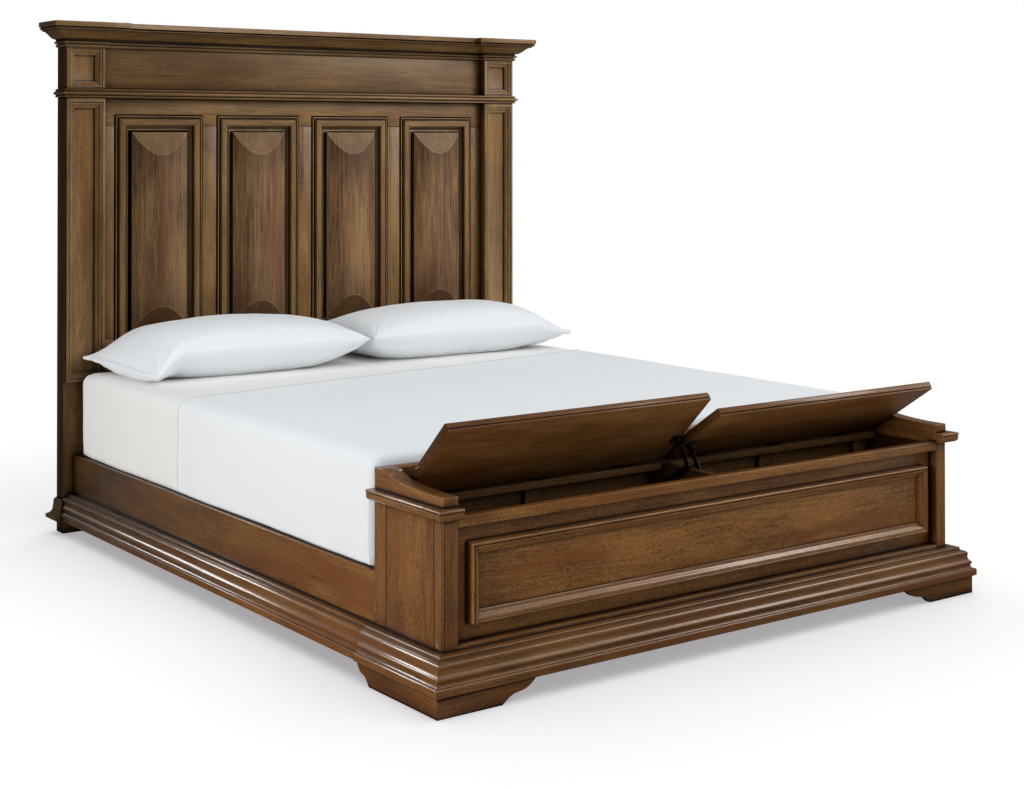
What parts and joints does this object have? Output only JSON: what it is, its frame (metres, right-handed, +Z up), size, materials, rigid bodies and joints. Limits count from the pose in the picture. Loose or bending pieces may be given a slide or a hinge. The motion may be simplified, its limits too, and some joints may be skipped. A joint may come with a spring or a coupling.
{
  "type": "storage bed",
  "caption": "King-size panelled bed with a tall headboard, slatted base and a footboard chest under two hinged lids held by stays.",
  "frame": {"origin": "on the floor under the middle of the bed's plan", "axes": "+X to the right seen from the foot, +Y from the foot to the headboard, +Z up"},
  "size_m": [2.234, 2.557, 1.912],
  "materials": {
    "headboard_walnut": "satin stained walnut with a dark glaze in the recesses",
    "footboard_walnut": "satin stained walnut, slightly redder",
    "inner_wood": "dark stained, matt",
    "slat_pine": "bare planed softwood",
    "black_steel": "black, satin",
    "white_cotton": "plain woven cotton"
  },
  "bodies": {
    "bed": {"headboard_post_left": "headboard_walnut", "headboard_post_right": "headboard_walnut", "pilasters": "headboard_walnut", "corner_blocks": "headboard_walnut", "frieze_board": "headboard_walnut", "astragal": "headboard_walnut", "crown_moulding": "headboard_walnut", "crown_cap": "headboard_walnut", "headboard_top_rail": "headboard_walnut", "headboard_bottom_rail": "headboard_walnut", "headboard_stiles": "headboard_walnut", "headboard_muntins": "headboard_walnut", "panel_mouldings": "headboard_walnut", "raised_panel_1": "headboard_walnut", "raised_panel_2": "headboard_walnut", "raised_panel_3": "headboard_walnut", "raised_panel_4": "headboard_walnut", "headboard_stretcher": "headboard_walnut", "headboard_base": "headboard_walnut", "side_rail_left": "footboard_walnut", "side_rail_right": "footboard_walnut", "rail_mouldings": "footboard_walnut", "slat_cleats": "slat_pine", "slats": "slat_pine", "centre_beam": "slat_pine", "support_legs": "slat_pine", "levelling_feet": "black_steel", "rail_brackets": "black_steel", "footboard_posts": "footboard_walnut", "end_panel_left": "footboard_walnut", "end_panel_right": "footboard_walnut", "end_linings": "inner_wood", "footboard_caps": "footboard_walnut", "arms": "footboard_walnut", "front_top_rail": "footboard_walnut", "front_board": "footboard_walnut", "front_field": "footboard_walnut", "front_moulding": "footboard_walnut", "front_sill": "footboard_walnut", "footboard_base": "footboard_walnut", "bracket_feet": "footboard_walnut", "box_bottom": "inner_wood", "box_back": "inner_wood", "back_battens": "inner_wood", "back_rail": "footboard_walnut", "partition": "inner_wood", "hinge_rail": "inner_wood", "fixed_hardware": "black_steel", "mattress": "white_cotton", "top_sheet": "white_cotton", "pillow_left": "white_cotton", "pillow_right": "white_cotton"},
    "lid_left": {"lid_left": "footboard_walnut", "lid_left_hardware": "black_steel"},
    "lid_right": {"lid_right": "footboard_walnut", "lid_right_hardware": "black_steel"},
    "stay_left_lower": {"stay_left_lower": "black_steel"},
    "stay_left_upper": {"stay_left_upper": "black_steel"},
    "stay_right_lower": {"stay_right_lower": "black_steel"},
    "stay_right_upper": {"stay_right_upper": "black_steel"}
  },
  "joints": [
    {"name": "lid_left_hinge", "type": "hinge", "parent": "bed", "child": "lid_left", "pos_m": [-0.475, -0.9445, 0.4963], "axis": [-1, 0, 0], "range_deg": [-45, 30]},
    {"name": "stay_left_base_pivot", "type": "hinge", "parent": "bed", "child": "stay_left_lower", "pos_m": [-0.0155, -0.9845, 0.4323], "axis": [-1, 0, 0], "range_deg": [-45, 30]},
    {"name": "stay_left_elbow", "type": "hinge", "parent": "stay_left_lower", "child": "stay_left_upper", "pos_m": [-0.0188, -1.07855, 0.50089], "axis": [-1, 0, 0], "range_deg": [-30, 45]},
    {"name": "lid_right_hinge", "type": "hinge", "parent": "bed", "child": "lid_right", "pos_m": [0.475, -0.9445, 0.4963], "axis": [-1, 0, 0], "range_deg": [-34, 41]},
    {"name": "stay_right_base_pivot", "type": "hinge", "parent": "bed", "child": "stay_right_lower", "pos_m": [0.0155, -0.9845, 0.4323], "axis": [-1, 0, 0], "range_deg": [-34, 41]},
    {"name": "stay_right_elbow", "type": "hinge", "parent": "stay_right_lower", "child": "stay_right_upper", "pos_m": [0.0188, -1.0899, 0.48168], "axis": [-1, 0, 0], "range_deg": [-41, 34]}
  ],
  "couplings": [
    {"joint": "stay_left_base_pivot", "follows": "lid_left_hinge", "ratio": 1},
    {"joint": "stay_left_elbow", "follows": "lid_left_hinge", "ratio": -1},
    {"joint": "stay_right_base_pivot", "follows": "lid_right_hinge", "ratio": 1},
    {"joint": "stay_right_elbow", "follows": "lid_right_hinge", "ratio": -1}
  ]
}
